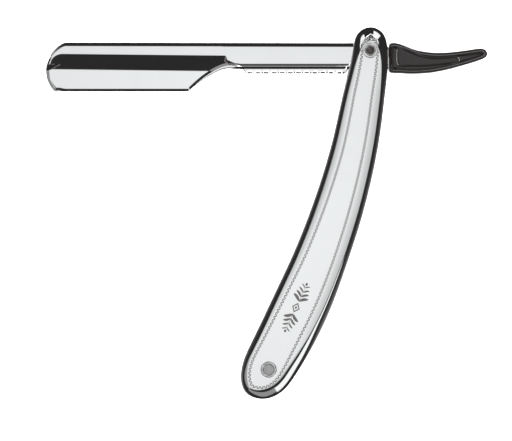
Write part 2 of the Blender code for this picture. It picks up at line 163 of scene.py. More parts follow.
# Blade arm. Heights are above or below the plane between the leaves.
LEAF_GAP = 0.05
LEAF_Z = 1.75
PANEL_Z = 0.62
SPINE_Y = 2.68
SPINE_RISE = 0.0022
HEAD_CENTRE = (-107.0, -7.3)
HEAD_R = 10.99
JAW_Y = -14.86
HEAD_END_X = -66.1
MAIN_THROAT = (
    (HEAD_END_X, JAW_Y), (-64.6, -13.6), (-62.5, -11.9), (-60.0, -10.2), (-57.0, -8.4),
    (-54.4, -7.1), (-51.6, -6.5), (-49.4, -6.65), (-47.0, -6.75),
)
COVER_THROAT = (
    (HEAD_END_X, JAW_Y), (-64.6, -13.4), (-62.3, -11.3), (-60.2, -9.6), (-58.3, -8.3),
    (-55.7, -6.8), (-53.1, -5.75), (-51.2, -5.4), (-49.2, -5.6), (-47.0, -5.8),
)
HOLLOW_FALL = 0.188
END_FALL = 0.5
HUB_X = 6.7
HUB_START_X = 5.6
HUB_LEDGE = (6.42, 6.62)
HUB_FALL = 0.4
HUB_TOP_Y = 1.25
TANG_END_X = 29.6
TANG_TOP_Y = -2.4
TANG_BOTTOM_Y = -5.8
TANG_Z = 1.05
STUD_XS = {"blade_stud_outer": -108.0, "blade_stud_inner": -73.0}
STUD_Y = -5.0
LOWER_RIM = 1.0
LEAF_BORE_R = 2.15
MAIN_BEVEL = 1.1
# The cover leaf's inner face is hollowed over the head, below a line, and its tip's corner is set back.
COVER_RELIEF = 0.12
COVER_SET_BACK = 0.45
RELIEF_END_X = -62.5
RELIEF_TOP_Y = -2.6

# Jimps: the grooved strip under the shank.
JIMP_START_X, JIMP_END_X = -46.9, -7.4
JIMP_TOP_Y, JIMP_BOTTOM_Y = -5.9, -8.4
JIMP_FRONT_Z, JIMP_BACK_Z = -0.6, -1.65
JIMP_SLOPE = 1.7
JIMP_PITCH = 2.95
JIMP_COUNT = 12
JIMP_CHAMFER = 0.68
JIMP_FALL = 1.15

# Plastic tail.
GRIP_OUTLINE = (
    (7.6, 2.72), (7.02, 2.35), (6.82, 1.7), (6.77, -0.5), (6.77, -2.8), (6.77, -5.0), (6.82, -7.0),
    (7.07, -7.75), (7.8, -8.1), (10.7, -8.3), (14.5, -8.5), (18.4, -8.4), (22.3, -8.07), (26.2, -7.4),
    (30.1, -6.5), (34.0, -5.43), (37.9, -4.26), (40.6, -3.3), (42.3, -2.3), (42.78, -1.2), (42.5, -0.3),
    (41.8, 0.45), (40.6, 0.82), (39.1, 0.72), (35.6, 0.22), (31.7, -0.3), (27.8, -0.66), (23.9, -0.74),
    (20.8, -0.48), (17.7, 0.04), (15.3, 0.74), (13.0, 1.66), (10.66, 2.5), (8.9, 2.85),
)
GRIP_PANEL = (
    (10.9, 0.95), (10.3, 0.8), (10.0, 0.2), (9.9, -1.2), (9.9, -3.4), (10.1, -4.7), (10.7, -5.4),
    (13.0, -5.6), (17.0, -5.6), (21.6, -5.4), (25.6, -5.0), (29.3, -4.55), (31.6, -4.15), (32.3, -3.5),
    (31.9, -2.75), (29.5, -2.65), (27.0, -2.85), (24.2, -3.0), (20.8, -2.7), (17.0, -1.75), (14.0, -0.45),
    (12.2, 0.4),
)
GRIP_HALF = 2.2
GRIP_SUNK = 0.45

# Studio. Each softbox: azimuth and polar angle of its middle, half width, half height and soft edge, all in
# degrees, and its brightness.
SOFTBOXES = (
    (-38.0, 40.0, 17.0, 10.0, 2.0, 1.0),
    (57.0, 34.0, 17.0, 11.0, 2.0, 1.0),
    (136.0, 32.5, 16.0, 7.0, 2.0, 1.0),
    (-92.5, 37.0, 37.0, 9.5, 2.0, 0.27),
    (-165.0, 21.0, 35.0, 11.0, 2.0, 0.27),
)
FLOOR_HALF = 3.0
VIEW_WIDTH = 0.1869
VIEW_CENTRE = (-0.0039, -0.0027)
VIEW_HEIGHT = 2.0


def to_world(points):
    """Millimetres from the pivot to metres in the frame."""
    points = np.asarray(points, float) * MM
    return points + np.array([PIVOT[0], PIVOT[1], 0.0])


def mesh_object(name, points, faces, materials, marks=None, sharp_deg=28.0):
    """An object from points in millimetres; marks gives a material index for each face."""
    mesh = bpy.data.meshes.new(name)
    mesh.from_pydata(to_world(points).tolist(), [], faces)
    for material in materials:
        mesh.materials.append(material)
    if marks is not None:
        mesh.polygons.foreach_set("material_index", np.asarray(marks, np.int32))
    bm = bmesh.new()
    bm.from_mesh(mesh)
    bmesh.ops.recalc_face_normals(bm, faces=bm.faces)
    bm.to_mesh(mesh)
    bm.free()
    mesh.shade_smooth()
    mesh.set_sharp_from_angle(angle=math.radians(sharp_deg))
    obj = bpy.data.objects.new(name, mesh)
    bpy.context.scene.collection.objects.link(obj)
    return obj


def as_piece(obj, body, nodes):
    """Rides on a body and stands for CAD nodes, which it hides."""
    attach(obj, body)
    if nodes:
        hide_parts(*nodes)
    return obj


def combine(obj, other, operation, sharp_deg=28.0):
    """Joins another closed object to this one or cuts it away, for good, and removes the other."""
    modifier = obj.modifiers.new("step", "BOOLEAN")
    modifier.operation = operation
    modifier.solver = "MANIFOLD"
    modifier.object = other
    mesh = bpy.data.meshes.new_from_object(obj.evaluated_get(bpy.context.evaluated_depsgraph_get()))
    obj.modifiers.clear()
    obj.data = mesh
    bpy.data.objects.remove(other)
    mesh.shade_smooth()
    mesh.set_sharp_from_angle(angle=math.radians(sharp_deg))


def drill(obj, x, y, radius, sharp_deg=28.0):
    """Cuts a vertical round hole through an object."""
    points, faces = turned(((0.0, -5.0), (radius, -5.0), (radius, 20.0), (0.0, 20.0)), x, y, 96)
    combine(obj, mesh_object("cutter", points, faces, []), "DIFFERENCE", sharp_deg)


def loft_faces(rings, size):
    """Quads between rings of the same size, with the first and last ring capped."""
    faces = [tuple(reversed(range(size)))]
    for ring in range(rings - 1):
        low = ring * size
        for i in range(size):
            j = (i + 1) % size
            faces.append((low + i, low + j, low + size + j, low + size + i))
    last = (rings - 1) * size
    faces.append(tuple(range(last, last + size)))
    return faces


def turned(profile, x, y, count=96):
    """A solid turned about a vertical axis. A profile that starts and ends at radius 0 makes a disc."""
    solid = profile[0][0] == 0.0
    rows = profile[1:-1] if solid else profile
    points = []
    for radius, z in rows:
        for i in range(count):
            angle = math.tau * i / count
            points.append((x + radius * math.cos(angle), y + radius * math.sin(angle), z))
    faces = []
    closed = len(rows) if not solid else len(rows) - 1
    for row in range(closed):
        low, high = row * count, (row + 1) % len(rows) * count
        for i in range(count):
            j = (i + 1) % count
            faces.append((low + i, low + j, high + j, high + i))
    if solid:
        first, last = len(points), len(points) + 1
        points.append((x, y, profile[0][1]))
        points.append((x, y, profile[-1][1]))
        end = (len(rows) - 1) * count
        for i in range(count):
            j = (i + 1) % count
            faces.append((first, j, i))
            faces.append((last, end + i, end + j))
    return points, faces


def arc(centre_r, centre_z, radius, start_deg, end_deg, steps=6):
    """Profile points along an arc; 0 degrees points outwards and 90 up."""
    angles = np.radians(np.linspace(start_deg, end_deg, steps))
    return [(centre_r + radius * math.cos(a), centre_z + radius * math.sin(a)) for a in angles]


def closed_spline(outline, fine=400):
    """Dense points on the smooth closed curve through an anticlockwise outline."""
    knots = np.array(outline, float)
    size = len(knots)
    step = np.linalg.norm(np.roll(knots, -1, axis=0) - knots, axis=1)
    system = np.zeros((size, size))
    slopes = np.zeros((size, 2))
    for i in range(size):
        before, after = step[i - 1], step[i]
        system[i, i - 1] = after
        system[i, i] = 2 * (before + after)
        system[i, (i + 1) % size] = before
        to_next = (knots[(i + 1) % size] - knots[i]) / after
        from_last = (knots[i] - knots[i - 1]) / before
        slopes[i] = 3 * (before * to_next + after * from_last)
    tangents = np.linalg.solve(system, slopes)
    t = (np.arange(fine) / fine)[:, None]
    a, b = 2 * t**3 - 3 * t**2 + 1, t**3 - 2 * t**2 + t
    c, d = 3 * t**2 - 2 * t**3, t**3 - t**2
    spans = []
    for i in range(size):
        j = (i + 1) % size
        spans.append(a * knots[i] + b * step[i] * tangents[i] + c * knots[j] + d * step[i] * tangents[j])
    return np.concatenate(spans)


def outward_normals(points):
    along = np.roll(points, -1, axis=0) - np.roll(points, 1, axis=0)
    along /= np.linalg.norm(along, axis=1)[:, None]
    return np.stack([along[:, 1], -along[:, 0]], axis=1)


def run_length(points):
    """Distance along a closed curve to each point, with the whole length at the end."""
    steps = np.linalg.norm(np.roll(points, -1, axis=0) - points, axis=1)
    return np.concatenate([[0.0], np.cumsum(steps)])


def ease(x, start, end):
    """0 at start, 1 at end, smooth between; works on arrays."""
    t = np.clip((np.asarray(x, float) - start) / (end - start), 0.0, 1.0)
    return t * t * (3 - 2 * t)


# ---------------------------------------------------------------- materials


class Nodes:
    """A short way to write a node tree."""

    def __init__(self, tree):
        self.tree = tree

    def add(self, kind, settings=None, **inputs):
        node = self.tree.nodes.new(kind)
        for key, value in (settings or {}).items():
            setattr(node, key, value)
        for key, value in inputs.items():
            socket = node.inputs[int(key[1:])] if key[0] == "_" else node.inputs[key.replace("_", " ")]
            if isinstance(value, bpy.types.NodeSocket):
                self.tree.links.new(value, socket)
            else:
                socket.default_value = value
        return node

    def math(self, operation, *values):
        numbered = {f"_{i}": value for i, value in enumerate(values)}
        return self.add("ShaderNodeMath", {"operation": operation}, **numbered).outputs[0]

    def link(self, value, node, socket):
        self.tree.links.new(value, node.inputs[socket])

    def remap(self, value, low, high, to_low, to_high, smooth=False):
        kind = "SMOOTHSTEP" if smooth else "LINEAR"
        node = self.add("ShaderNodeMapRange", {"interpolation_type": kind})
        self.link(value, node, "Value")
        for key, number in zip(("From Min", "From Max", "To Min", "To Max"), (low, high, to_low, to_high)):
            node.inputs[key].default_value = number
        return node.outputs["Result"]

    def noise(self, scale, detail=3.0, stretch=(1.0, 1.0, 1.0), spin=(0.0, 0.0, 0.0), roughness=0.5):
        """Noise in the piece's own coordinates; scale is cells per metre."""
        place = self.add("ShaderNodeTexCoord").outputs["Object"]
        mapping = self.add("ShaderNodeMapping", Vector=place)
        mapping.inputs["Scale"].default_value = stretch
        mapping.inputs["Rotation"].default_value = spin
        texture = self.add("ShaderNodeTexNoise", Vector=mapping.outputs[0], Scale=scale, Detail=detail)
        texture.inputs["Roughness"].default_value = roughness
        return texture.outputs["Fac"]

    def colours(self, factor, low, high):
        mix = self.add("ShaderNodeMix", {"data_type": "RGBA"})
        self.link(factor, mix, "Factor")
        mix.inputs[6].default_value = (*low, 1.0)
        mix.inputs[7].default_value = (*high, 1.0)
        return mix.outputs[2]


def new_material(name):
    material = bpy.data.materials.new(name)
    material.use_nodes = True
    nodes = Nodes(material.node_tree)
    return material, nodes, material.node_tree.nodes["Principled BSDF"]


def polished_steel(name, low_rough=0.03, high_rough=0.075, tint=(0.93, 0.935, 0.94), grain_deg=0.0):
    """Mirror-polished steel with faint buffing lines, smears and fine scratches."""
    material, n, shader = new_material(name)
    spin = (0.0, 0.0, math.radians(grain_deg))
    buffing = n.noise(220.0, 4.0, stretch=(1.0, 26.0, 1.0), spin=spin)
    smears = n.noise(70.0, 3.0)
    specks = n.noise(1500.0, 2.0)
    darker = tuple(c * 0.965 for c in tint)
    colour = n.colours(n.remap(smears, 0.35, 0.7, 0.0, 1.0, True), darker, tint)
    n.link(colour, shader, "Base Color")
    rough = n.remap(smears, 0.3, 0.75, low_rough, high_rough, True)
    rough = n.math("ADD", rough, n.remap(buffing, 0.62, 0.75, 0.0, 0.03, True))
    n.link(rough, shader, "Roughness")
    height = n.math("ADD", n.math("MULTIPLY", buffing, 0.7), n.math("MULTIPLY", specks, 0.3))
    bump = n.add("ShaderNodeBump", Strength=0.02, Distance=0.00002, Height=height)
    n.link(bump.outputs[0], shader, "Normal")
    shader.inputs["Metallic"].default_value = 1.0
    return material


def engraved_steel(name):
    """The floor of the engraving: dull, rougher than the polish round it, and near black, which is painted
    shade in the border's grooves; the flat etched sprig takes the same dark tone as its pattern.
    """
    material, n, shader = new_material(name)
    shade_mottle = n.noise(2600.0, 3.0)
    # Painted shade: near-black colour for the engraved grooves, varied at random.
    n.link(n.colours(shade_mottle, (0.03, 0.029, 0.028), (0.066, 0.064, 0.062)), shader, "Base Color")
    n.link(n.remap(shade_mottle, 0.2, 0.8, 0.5, 0.65), shader, "Roughness")
    shader.inputs["Metallic"].default_value = 0.35
    return material


def turned_steel(name, centre, tint=(0.92, 0.92, 0.93), rough=(0.08, 0.18)):
    """Lathe-turned metal: fine rings about its own axis, with tarnish."""
    material, n, shader = new_material(name)
    place = n.add("ShaderNodeTexCoord").outputs["Object"]
    x, y, _ = to_world([(*centre, 0.0)])[0]
    shifted = n.add("ShaderNodeMapping", Vector=place)
    shifted.inputs["Location"].default_value = (-x, -y, 0.0)
    about_z = {"wave_type": "RINGS", "rings_direction": "Z"}
    rings = n.add("ShaderNodeTexWave", about_z, Vector=shifted.outputs[0], Scale=1600.0)
    rings.inputs["Distortion"].default_value = 1.5
    rings.inputs["Detail"].default_value = 2.0
    tarnish = n.noise(900.0, 3.0)
    darker = tuple(c * 0.8 for c in tint)
    colour = n.colours(n.remap(tarnish, 0.35, 0.7, 0.0, 1.0, True), tint, darker)
    n.link(colour, shader, "Base Color")
    n.link(n.remap(tarnish, 0.3, 0.7, *rough), shader, "Roughness")
    bump = n.add("ShaderNodeBump", Strength=0.05, Distance=0.00004, Height=rings.outputs["Fac"])
    n.link(bump.outputs[0], shader, "Normal")
    shader.inputs["Metallic"].default_value = 1.0
    return material


def black_plastic(name):
    """Glossy moulded black plastic, with faint flow marks and a fine grain."""
    material, n, shader = new_material(name)
    flow = n.noise(60.0, 3.0, stretch=(1.0, 3.0, 1.0))
    grain = n.noise(5200.0, 2.0)
    n.link(n.colours(flow, (0.004, 0.0033, 0.0033), (0.0068, 0.0058, 0.0056)), shader, "Base Color")
    n.link(n.remap(flow, 0.3, 0.7, 0.12, 0.2), shader, "Roughness")
    bump = n.add("ShaderNodeBump", Strength=0.06, Distance=0.00003, Height=grain)
    n.link(bump.outputs[0], shader, "Normal")
    shader.inputs["IOR"].default_value = 1.5
    return material


def lip_highlight_plastic(name):
    """Painted highlight: pale grey plastic on the rounded lip at each end of the tail's sunk panels."""
    material, n, shader = new_material(name)
    highlight_mottle = n.noise(3000.0, 3.0)
    n.link(n.colours(highlight_mottle, (0.10, 0.095, 0.09), (0.34, 0.33, 0.32)), shader, "Base Color")
    n.link(n.remap(highlight_mottle, 0.2, 0.8, 0.3, 0.5), shader, "Roughness")
    return material


def floor_material():
    """A matt white sweep, faintly mottled."""
    material, n, shader = new_material("studio_floor")
    mottle = n.noise(6.0, 3.0)
    n.link(n.colours(mottle, (0.86, 0.86, 0.86), (0.90, 0.90, 0.90)), shader, "Base Color")
    shader.inputs["Roughness"].default_value = 0.9
    shader.inputs["Specular IOR Level"].default_value = 0.0
    shader.inputs["Emission Color"].default_value = (1.0, 1.0, 1.0, 1.0)
    shader.inputs["Emission Strength"].default_value = 0.05
    return material


# ---------------------------------------------------------------- handle scales


def at_stations(path, stations):
    """Values given at places on the outline, spread smoothly over every point of it."""
    table = np.array(stations)
    spots = [int(np.argmin(np.linalg.norm(path - row[:2], axis=1))) for row in table]
    spots[0] = 0
    values = [np.interp(np.arange(len(path)), spots, column, period=len(path)) for column in table[:, 2:].T]
    return blurred(np.stack(values, axis=1), 14)


def border_inset(path):
    """How far the border's middle lies inside the scale's edge; the arch over the pivot comes to a point."""
    sides = at_stations(path, BORDER_STATIONS)[:, 0]
    arch = 3.85 - 0.85 * np.exp(-np.abs(path[:, 0] - 0.3) / 1.3)
    over = ease(path[:, 1], 1.5, 6.0)
    return sides * (1 - over) + arch * over


def blurred(values, reach):
    """Values along a closed line, evened out over a number of points."""
    steps = np.arange(-3 * reach, 3 * reach + 1)
    weights = np.exp(-0.5 * (steps / reach) ** 2)
    weights /= weights.sum()
    return sum(w * np.roll(values, k, axis=0) for w, k in zip(weights, steps))


def rim_drop(inside, width, slope, fullness=4.0):
    """How far a rim has fallen at a distance inside its edge, if it rounds over from level to the slope."""
    t = np.clip(inside / width, 0.0, 1.0)
    return slope * width * ((1 - t) - (1 - t ** (fullness + 1)) / (fullness + 1))


def zigzag_phase(place, column):
    """Phase of each of the six columns of one zigzag, at a place from 0 to 1 across it."""
    half = ZIGZAG_HALF
    up = half + 0.01 + (0.48 - 2 * half) * place
    return (up - half, up, up + half, 1 - up - half, 1 - up, 1 - up + half)[column]


# Columns of a scale's plan, which has a row for each point of the outline.
POINT, NORMAL, INSET, SHAPE = slice(0, 2), slice(2, 4), 4, slice(5, 10)


def scale_plan():
    """The outline of a scale with its normals, the border's inset and the shape of the edge."""
    path = evenly(closed_spline(SCALE_OUTLINE), 2400)
    normals = outward_normals(path)
    return np.column_stack([path, normals, border_inset(path), at_stations(path, EDGE_STATIONS)])


def scale_heights(inset, plan):
    """Height of a scale's outer face above its flat back, at an inset from points of its plan."""
    width, slope, fullness, zone, facet = plan[:, SHAPE].T
    border = plan[:, INSET]
    reach = border - 0.6 * BORDER_WIDTH
    gentle = zone * reach / 1.6 * np.clip(1 - inset / reach, 0.0, 1.0) ** 1.6
    corner = 0.05 * np.clip(1 - inset / 0.06, 0.0, 1.0) ** 2
    rounding = rim_drop(inset, width, slope, fullness) + rim_drop(inset, 0.65, facet, 3.0)
    return SCALE_THICK - gentle - rounding - corner


def scale_row(plan, inset, heights):
    return np.column_stack([plan[:, POINT] - plan[:, NORMAL] * np.reshape(inset, (-1, 1)), heights])


def scale_rows():
    """A scale's plan, its points in rows from back to border, and where they are engraved (1) or not (0)."""
    plan = scale_plan()
    run = run_length(plan[:, POINT] - plan[:, NORMAL] * plan[:, INSET : INSET + 1])
    periods = round(run[-1] / ZIGZAG_PITCH)
    columns = 6 * periods
    index = np.arange(columns)
    closed = np.vstack([plan, plan[:1]])

    def plan_at(s):
        rows = np.stack([np.interp(np.mod(s, run[-1]), run, column) for column in closed.T], axis=1)
        rows[:, NORMAL] /= np.linalg.norm(rows[:, NORMAL], axis=1)[:, None]
        return rows

    even = plan_at(index / columns * run[-1])
    none = np.zeros(columns)
    rows = [scale_row(even, inset, none + z) for inset, z in ((0.35, 0.0), (0.12, 0.03), (0.0, 0.15))]
    cuts = [none] * len(rows)
    for part in EDGE_ROWS:
        inset = part * (even[:, INSET] - 0.72 * BORDER_WIDTH)
        rows.append(scale_row(even, inset, scale_heights(inset, even)))
        cuts.append(none)
    depths = {"flat": none, "zigzag": np.isin(index % 6, (1, 4)).astype(float)}
    for place, kind in BORDER_ROWS:
        across = min(max((place - 0.09) / 0.82, 0.0), 1.0)
        shift = np.array([zigzag_phase(across, c) for c in range(6)])[index % 6]
        here = plan_at((index // 6 + shift) / periods * run[-1])
        inset = here[:, INSET] + (place - 0.5) * BORDER_WIDTH
        level = ease(here[:, 1], 1.0, 4.0)
        heights = scale_heights(inset, here) * (1 - level) + scale_heights(here[:, INSET], here) * level
        rows.append(scale_row(here, inset, heights - GROOVE_DEPTH * depths[kind]))
        cuts.append(depths[kind])
    return plan, rows, np.array(cuts)


def circle(x, y, radius, count=96):
    angles = np.arange(count) / count * math.tau
    return np.stack([x + radius * np.cos(angles), y + radius * np.sin(angles)], axis=1)


def inside_loop(points, loop):
    """Whether each point lies inside a closed loop, by counting crossings of a ray."""
    x, y = points[:, 0][:, None], points[:, 1][:, None]
    ahead = np.roll(loop, -1, axis=0)
    spans = (loop[:, 1] > y) != (ahead[:, 1] > y)
    rise = np.where(ahead[:, 1] == loop[:, 1], 1.0, ahead[:, 1] - loop[:, 1])
    cross = loop[:, 0] + (y - loop[:, 1]) / rise * (ahead[:, 0] - loop[:, 0])
    return np.sum(spans & (cross > x), axis=1) % 2 == 1


def fill_with_holes(outer, holes, extra):
    """Triangles between an outer loop and round holes, as indices into outer + all holes + extra points."""
    loops = [outer, *holes]
    points = np.vstack([*loops, *extra])
    edges = []
    start = 0
    for loop in loops:
        size = len(loop)
        edges.extend((start + i, start + (i + 1) % size) for i in range(size))
        start += size
    result = delaunay_2d_cdt([Vector(p) for p in points.tolist()], edges, [], 0, 1e-6)
    verts, faces, origins = np.array([tuple(v) for v in result[0]]), result[2], result[3]
    names = []
    for vert, ids in zip(verts, origins):
        names.append(ids[0] if ids else int(np.argmin(np.linalg.norm(points - vert, axis=1))))
    middles = np.array([verts[list(face)].mean(axis=0) for face in faces])
    kept = inside_loop(middles, outer)
    for hole in holes:
        kept &= ~inside_loop(middles, hole)
    return [tuple(names[i] for i in face) for face, keep in zip(faces, kept) if keep]


def seat_points(plan, rim):
    """Points on circles round the pivot that lie on the face inside the border, with their heights."""
    seats = np.vstack([circle(0.0, 0.0, radius, 60) for radius in (2.0, 2.45, 2.9, 3.3, 3.7, 4.1)])
    clear = np.array([np.min(np.linalg.norm(rim - p, axis=1)) for p in seats])
    seats = seats[(clear > 0.12) & inside_loop(seats, rim)]
    away = np.linalg.norm(plan[:, POINT][None] - seats[:, None], axis=2)
    nearest = np.argmin(away, axis=1)
    return np.column_stack([seats, scale_heights(away[np.arange(len(seats)), nearest], plan[nearest])])


def make_scale(name, node, inside_z, outward, steel, groove):
    """One handle plate: flat back, rounded rim, sloping border zone, engraved border and two holes."""
    plan, rows, cuts = scale_rows()
    columns = len(rows[0])
    holes = (circle(0.0, 0.0, PIVOT_HOLE_R), circle(END_X, END_Y, END_HOLE_R))
    seats = seat_points(plan, rows[-1][:, :2])
    walls = [np.column_stack([hole, np.full(len(hole), z)]) for z in (0.0, SCALE_THICK) for hole in holes]
    points = np.vstack([*rows, *walls, seats])
    points[:, 2] = inside_z + outward * points[:, 2]
    faces = loft_faces(len(rows), columns)[1:-1]
    start, last = len(rows) * columns, (len(rows) - 1) * columns
    size = sum(len(hole) for hole in holes)
    back_ids = [*range(columns), *range(start, start + size)]
    front_ids = [*range(last, last + columns), *range(start + size, len(points))]
    back = fill_with_holes(rows[0][:, :2], holes, [])
    front = fill_with_holes(rows[-1][:, :2], holes, [seats[:, :2]])
    faces.extend(tuple(back_ids[i] for i in reversed(face)) for face in back)
    faces.extend(tuple(front_ids[i] for i in face) for face in front)
    low = start
    for hole in holes:
        count = len(hole)
        faces.extend(
            (low + i, low + (i + 1) % count, low + size + (i + 1) % count, low + size + i)
            for i in range(count)
        )
        low += count
    # Faces in the zigzag grooves get the near-black engraving colour: painted shade.
    ahead = np.roll(cuts, -1, axis=1)
    marks = np.zeros(len(faces), int)
    engraved = (cuts[:-1] + ahead[:-1] + cuts[1:] + ahead[1:]) > 0
    marks[: engraved.size] = engraved.ravel()
    scale = mesh_object(name, points, faces, [steel, groove], marks, sharp_deg=14.0)
    return as_piece(scale, "handle", [node])


def etched(outline):
    """A thin closed film with this outline on the front scale's face, as points and faces."""
    size = len(outline)
    low, high = FRONT_OUTSIDE_Z - 0.03, FRONT_OUTSIDE_Z + 0.008
    points = [(x, y, z) for z in (low, high) for x, y in outline]
    return points, loft_faces(2, size)


def make_ornament(groove):
    """A plain sprig of paired leaves each side of a lozenge, etched on the front scale."""
    centre = np.array((-27.0, -93.5))
    along = np.array((0.42, 0.9075))
    across = np.array((along[1], -along[0]))
    shapes = []

    def add(outline):
        shapes.append([tuple(centre + along * s + across * t) for s, t in outline])

    for way in (-1, 1):
        add([(way * 2.1, -0.07), (way * 9.2, -0.05), (way * 9.2, 0.05), (way * 2.1, 0.07)])
        for side in (-1, 1):
            for k in range(4):
                root, length = 2.6 + 1.75 * k, 3.3 - 0.5 * k
                lens = []
                for i in range(24):
                    turn = math.tau * i / 24
                    u, v = 0.5 - 0.5 * math.cos(turn), 0.17 * math.sin(turn) * (1 - 0.25 * k / 3)
                    lean = 0.62 + 0.35 * u
                    s = root + length * (u * math.cos(lean) - v * math.sin(lean))
                    t = 0.12 + length * (u * math.sin(lean) + v * math.cos(lean))
                    lens.append((way * s, side * t))
                add(lens)
        add([(way * 9.3 + 0.55 * math.cos(a), 0.42 * math.sin(a)) for a in np.arange(16) / 16 * math.tau])
    for half in (-1, 1):
        add([(-1.9, 0), (0, half * 1.5), (1.9, 0), (1.25, 0), (0, half * 1.0), (-1.25, 0)])
    add([(0.6, 0), (0, 0.48), (-0.6, 0), (0, -0.48)])
    points, faces = [], []
    for outline in shapes:
        new_points, new_faces = etched(outline)
        faces.extend(tuple(i + len(points) for i in face) for face in new_faces)
        points.extend(new_points)
    sprig = mesh_object("etched_sprig", points, faces, [groove])
    return as_piece(sprig, "handle", [])


# ---------------------------------------------------------------- blade arm


def curve_at(x, knots):
    """Height at x of a smooth curve through knots with increasing x; works on arrays."""
    xs = np.array([k[0] for k in knots])
    ys = np.array([k[1] for k in knots])
    slope = np.gradient(ys, xs)
    i = np.clip(np.searchsorted(xs, x) - 1, 0, len(xs) - 2)
    step = xs[i + 1] - xs[i]
    t = np.clip((x - xs[i]) / step, 0.0, 1.0)
    a, b = 2 * t**3 - 3 * t**2 + 1, t**3 - 2 * t**2 + t
    c, d = 3 * t**2 - 2 * t**3, t**3 - t**2
    return a * ys[i] + b * step * slope[i] + c * ys[i + 1] + d * step * slope[i + 1]


def leaf_edges(x, throat, set_back):
    """Upper and lower edge of a leaf at x; set_back trims the lower corner of the tip."""
    top = SPINE_Y - SPINE_RISE * x
    if x > HUB_X:
        return TANG_TOP_Y, TANG_BOTTOM_Y
    if x > 0:
        top += (HUB_TOP_Y - top) * x / HUB_X
    bottom = float(curve_at(x, throat)) if x > HEAD_END_X else JAW_Y
    if x < HEAD_CENTRE[0]:
        reach = math.sqrt(max(HEAD_R**2 - (x - HEAD_CENTRE[0]) ** 2, 0.0))
        trim = set_back * float(ease(x, -117.6, -115.4) * (1 - ease(x, -113.6, -110.5)))
        top = min(top, HEAD_CENTRE[1] + reach)
        bottom = max(bottom, HEAD_CENTRE[1] - reach, JAW_Y) + trim
    return top, bottom


def crease_y(x):
    """Where the flat along the spine breaks into the hollow."""
    return -1.2 - 0.0105 * (x + 114.6)


def rounded_min(a, b, radius):
    """The smaller of two distances, with the corner where they meet rounded off."""
    corner = np.hypot(np.maximum(radius - a, 0.0), np.maximum(radius - b, 0.0))
    return radius - corner + np.maximum(np.minimum(a, b) - radius, 0.0)


def hollow_height(x, y):
    """Height of a leaf's outer face: flat spine, hollow with rounded corners, and low panel."""
    to_shank = 0.99 * (-51.9 - x) + 0.139 * (y + 2.8)
    to_throat = 0.44 * (-51.7 - x) + 0.898 * (-3.45 - y)
    end = np.maximum(to_shank, to_throat) * END_FALL / HOLLOW_FALL
    reach = rounded_min(crease_y(x) - y, end, 2.8)
    if x < HEAD_CENTRE[0]:
        inside = HEAD_R - np.hypot(x - HEAD_CENTRE[0], y - HEAD_CENTRE[1])
        sunk = np.clip(0.5 * (-5.0 - y), 0.0, LEAF_Z - PANEL_Z) / HOLLOW_FALL
        reach = rounded_min(reach, sunk + 1.05 * (inside - 1.28), 2.3)
    low = np.maximum(PANEL_Z + 0.02 * (y + 11.0), LEAF_Z - HOLLOW_FALL * reach)
    return np.minimum(low, LEAF_Z)


def graded(low, high, count, towards=1.0):
    """Places between low and high, closer together near low where towards is above 1."""
    t = (np.arange(count) + 1) / count
    return list(low + (high - low) * t**towards)


def leaf_rows(top, bottom, x):
    """Places of the rows down a leaf's outer face, with rows along the crease and the foot of the hollow."""
    span = top - bottom
    unit = min(1.0, span / 9.0)
    start, end = top - 1.6 * unit, bottom + 1.4 * unit
    crease = crease_y(x)
    foot = crease - (LEAF_Z - PANEL_Z) / HOLLOW_FALL
    crease = min(max(crease, end + 0.5 * (start - end)), start - 0.2 * unit)
    foot = min(max(foot, end + 0.15 * (start - end)), crease - 0.3 * unit)
    rows = [top, *graded(top, start, 16, 1.6)]
    rows += graded(start, crease + 0.1 * unit, 5)
    rows += [crease, *graded(crease, foot + 0.1 * unit, 22)]
    rows += [foot, *graded(foot, end, 26)]
    rows += [bottom + (end - bottom) * (k / 18) ** 1.6 for k in range(17, -1, -1)]
    return np.array(rows)


def under_shank(x):
    """1 along the shank, where the leaf's lower edge has a sharper rounding and a chamfer."""
    return float(ease(x, -50.0, -46.0))


